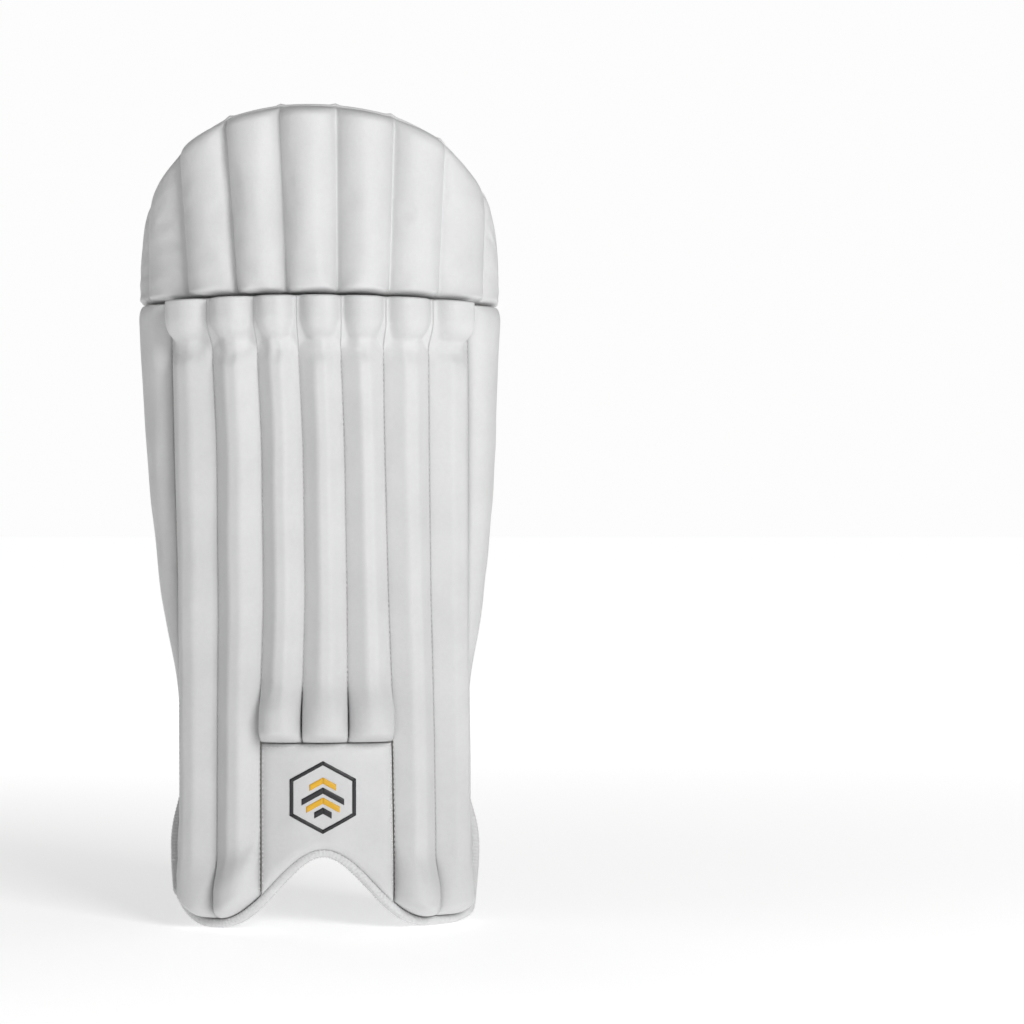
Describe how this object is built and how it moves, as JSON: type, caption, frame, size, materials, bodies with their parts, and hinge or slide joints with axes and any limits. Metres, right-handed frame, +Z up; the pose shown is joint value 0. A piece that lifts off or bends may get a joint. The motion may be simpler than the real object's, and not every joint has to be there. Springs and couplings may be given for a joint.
{
  "type": "cricket leg pad",
  "caption": "Wicket keeper's leg pad: caned shin guard with a stuffed knee flap, side wings, arched instep and hook-and-loop straps behind the leg.",
  "frame": {"origin": "on the floor under the middle of the pad's outer box, with the pad standing on its foot binding", "axes": "+Z up the shin, -Y the way the pad's face looks, +X to the right as seen from the front"},
  "size_m": [0.2975, 0.1776, 0.66],
  "materials": {
    "white_leather": "satin",
    "binding_leather": "satin",
    "moulded_foam": "matte",
    "split_cane": "satin",
    "backing_board": "matte",
    "lining_fabric": "matte",
    "cushion_fabric": "matte",
    "webbing": "matte",
    "elastic": "matte",
    "hook_and_loop": "matte",
    "badge": "satin"
  },
  "bodies": {
    "shin": {"backing_board": "backing_board", "shin_lining": "lining_fabric", "instep_panel": "white_leather", "instep_foam": "moulded_foam", "instep_badge": "badge", "instep_binding": "binding_leather", "ankle_binding_left": "binding_leather", "ankle_binding_right": "binding_leather", "wing_cover_left": "white_leather", "wing_cover_right": "white_leather", "wing_foam_left": "moulded_foam", "wing_foam_right": "moulded_foam", "shin_bolster_left": "cushion_fabric", "shin_bolster_right": "cushion_fabric", "knee_cushion_upper": "cushion_fabric", "knee_cushion_lower": "cushion_fabric", "strap_anchor_upper": "white_leather", "strap_anchor_lower": "white_leather", "loop_patch_upper": "hook_and_loop", "loop_patch_lower": "hook_and_loop", "cane_sleeve_1": "white_leather", "cane_foam_1": "moulded_foam", "cane_rod_1": "split_cane", "knee_roll_1": "white_leather", "cane_sleeve_2": "white_leather", "cane_foam_2": "moulded_foam", "cane_rod_2": "split_cane", "knee_roll_2": "white_leather", "cane_sleeve_3": "white_leather", "cane_foam_3": "moulded_foam", "cane_rod_3": "split_cane", "knee_roll_3": "white_leather", "cane_sleeve_4": "white_leather", "cane_foam_4": "moulded_foam", "cane_rod_4": "split_cane", "knee_roll_4": "white_leather", "cane_sleeve_5": "white_leather", "cane_foam_5": "moulded_foam", "cane_rod_5": "split_cane", "knee_roll_5": "white_leather", "cane_sleeve_6": "white_leather", "cane_foam_6": "moulded_foam", "cane_rod_6": "split_cane", "knee_roll_6": "white_leather", "cane_sleeve_7": "white_leather", "cane_foam_7": "moulded_foam", "cane_rod_7": "split_cane", "knee_roll_7": "white_leather"},
    "knee_flap": {"flap_board": "backing_board", "flap_foam": "moulded_foam", "flap_cover": "white_leather", "flap_lining": "lining_fabric"},
    "upper_strap": {"upper_strap_elastic": "elastic", "upper_strap_webbing": "webbing"},
    "upper_tab": {"upper_strap_tab": "webbing", "upper_hook_pad": "hook_and_loop"},
    "lower_strap": {"lower_strap_elastic": "elastic", "lower_strap_webbing": "webbing"},
    "lower_tab": {"lower_strap_tab": "webbing", "lower_hook_pad": "hook_and_loop"}
  },
  "joints": [
    {"name": "knee_flap_hinge", "type": "hinge", "parent": "shin", "child": "knee_flap", "pos_m": [0, -0.08878, 0.504], "axis": [1, 0, 0], "range_deg": [0, 20], "stiffness_Nm_per_rad": 0.6},
    {"name": "upper_strap_hinge", "type": "hinge", "parent": "shin", "child": "upper_strap", "pos_m": [-0.14262, 0.05358, 0.4], "axis": [0, 0, 1], "range_deg": [0, 110]},
    {"name": "upper_tab_peel", "type": "hinge", "parent": "upper_strap", "child": "upper_tab", "pos_m": [0.14262, 0.05358, 0.4], "axis": [0, 0, 1], "range_deg": [0, 120]},
    {"name": "lower_strap_hinge", "type": "hinge", "parent": "shin", "child": "lower_strap", "pos_m": [-0.11383, 0.04247, 0.166], "axis": [0, 0, 1], "range_deg": [0, 110]},
    {"name": "lower_tab_peel", "type": "hinge", "parent": "lower_strap", "child": "lower_tab", "pos_m": [0.11383, 0.04247, 0.166], "axis": [0, 0, 1], "range_deg": [0, 120]}
  ]
}
